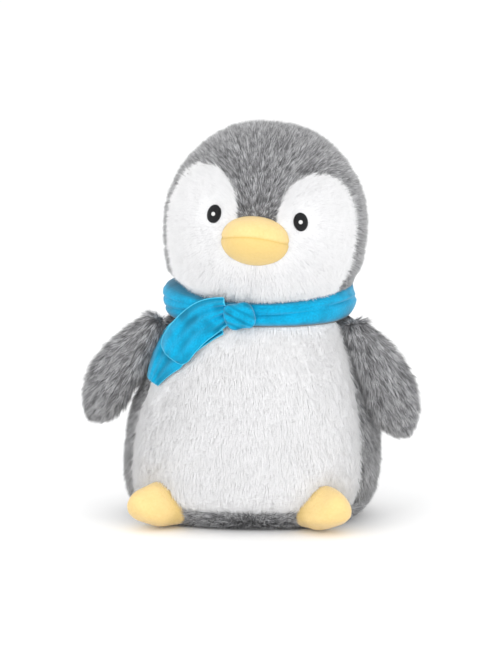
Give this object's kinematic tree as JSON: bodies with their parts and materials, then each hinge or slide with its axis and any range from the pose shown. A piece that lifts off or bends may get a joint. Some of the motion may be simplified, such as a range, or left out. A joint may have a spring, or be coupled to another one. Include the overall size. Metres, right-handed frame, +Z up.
{
  "type": "plush penguin",
  "caption": "Seated plush penguin with a round head, padded beak, wings and feet, and a knotted scarf, sewn from fabric panels over loose stuffing.",
  "frame": {"origin": "on the floor, under the middle of the toy's bounding box", "axes": "+Z up, the penguin faces -Y, +X towards its own left side"},
  "size_m": [0.233, 0.1514, 0.2756],
  "materials": {
    "plush_grey": "matte",
    "plush_white": "matte",
    "velboa_yellow": "matte",
    "scarf_velour": "matte",
    "thread_black": "matte",
    "thread_white": "matte",
    "stuffing": "matte",
    "pouch_cloth": "matte"
  },
  "bodies": {
    "body": {"belly_panel": "plush_white", "back_left": "plush_grey", "back_right": "plush_grey", "base_panel": "plush_grey", "body_filling": "stuffing", "pellet_pouch": "pouch_cloth", "scarf_band": "scarf_velour", "scarf_knot": "scarf_velour"},
    "neck": {"neck_filling": "stuffing"},
    "head": {"crown_left": "plush_grey", "crown_right": "plush_grey", "forehead_panel": "plush_grey", "cheek_left": "plush_white", "cheek_right": "plush_white", "head_filling": "stuffing", "beak_upper": "velboa_yellow", "beak_lower": "velboa_yellow", "beak_filling": "stuffing", "eye_left": "thread_black", "eye_right": "thread_black", "eye_shine_left": "thread_white", "eye_shine_right": "thread_white"},
    "wing_left": {"wing_left_outer": "plush_grey", "wing_left_inner": "plush_grey", "wing_left_filling": "stuffing"},
    "wing_right": {"wing_right_outer": "plush_grey", "wing_right_inner": "plush_grey", "wing_right_filling": "stuffing"},
    "foot_left": {"foot_left_upper": "velboa_yellow", "foot_left_sole": "velboa_yellow", "foot_left_filling": "stuffing"},
    "foot_right": {"foot_right_upper": "velboa_yellow", "foot_right_sole": "velboa_yellow", "foot_right_filling": "stuffing"},
    "scarf_end_front": {"scarf_tail_front": "scarf_velour"},
    "scarf_end_rear": {"scarf_tail_rear": "scarf_velour"}
  },
  "joints": [
    {"name": "neck_nod", "type": "hinge", "parent": "body", "child": "neck", "pos_m": [0.0044, 0.00375, 0.1555], "axis": [1, 0, 0], "range_deg": [-7, 8], "stiffness_Nm_per_rad": 1.2},
    {"name": "head_turn", "type": "hinge", "parent": "neck", "child": "head", "pos_m": [0.0044, 0.00375, 0.1555], "axis": [0.0785, 0, 0.9969], "range_deg": [-20, 20], "stiffness_Nm_per_rad": 0.6},
    {"name": "wing_left_raise", "type": "hinge", "parent": "body", "child": "wing_left", "pos_m": [0.06651, -0.02133, 0.137], "axis": [0, -1, 0], "range_deg": [-2, 60], "stiffness_Nm_per_rad": 0.12},
    {"name": "wing_right_raise", "type": "hinge", "parent": "body", "child": "wing_right", "pos_m": [-0.05842, -0.02133, 0.137], "axis": [0, 1, 0], "range_deg": [-2, 60], "stiffness_Nm_per_rad": 0.12},
    {"name": "foot_left_flex", "type": "hinge", "parent": "body", "child": "foot_left", "pos_m": [0.05665, -0.05486, 0.031], "axis": [-0.7771, -0.6293, 0], "range_deg": [0, 35], "stiffness_Nm_per_rad": 0.15},
    {"name": "foot_right_flex", "type": "hinge", "parent": "body", "child": "foot_right", "pos_m": [-0.05907, -0.05486, 0.031], "axis": [-0.7771, 0.6293, 0], "range_deg": [0, 35], "stiffness_Nm_per_rad": 0.15},
    {"name": "scarf_front_lift", "type": "hinge", "parent": "body", "child": "scarf_end_front", "pos_m": [-0.0156, -0.05976, 0.151], "axis": [-0.3, 0, 0.9539], "range_deg": [0, 50], "stiffness_Nm_per_rad": 0.02},
    {"name": "scarf_rear_lift", "type": "hinge", "parent": "body", "child": "scarf_end_rear", "pos_m": [-0.0166, -0.05501, 0.146], "axis": [-0.3, 0, 0.9539], "range_deg": [0, 25], "stiffness_Nm_per_rad": 0.02}
  ],
  "couplings": [
    {"joint": "scarf_rear_lift", "follows": "scarf_front_lift", "ratio": 0.5}
  ]
}
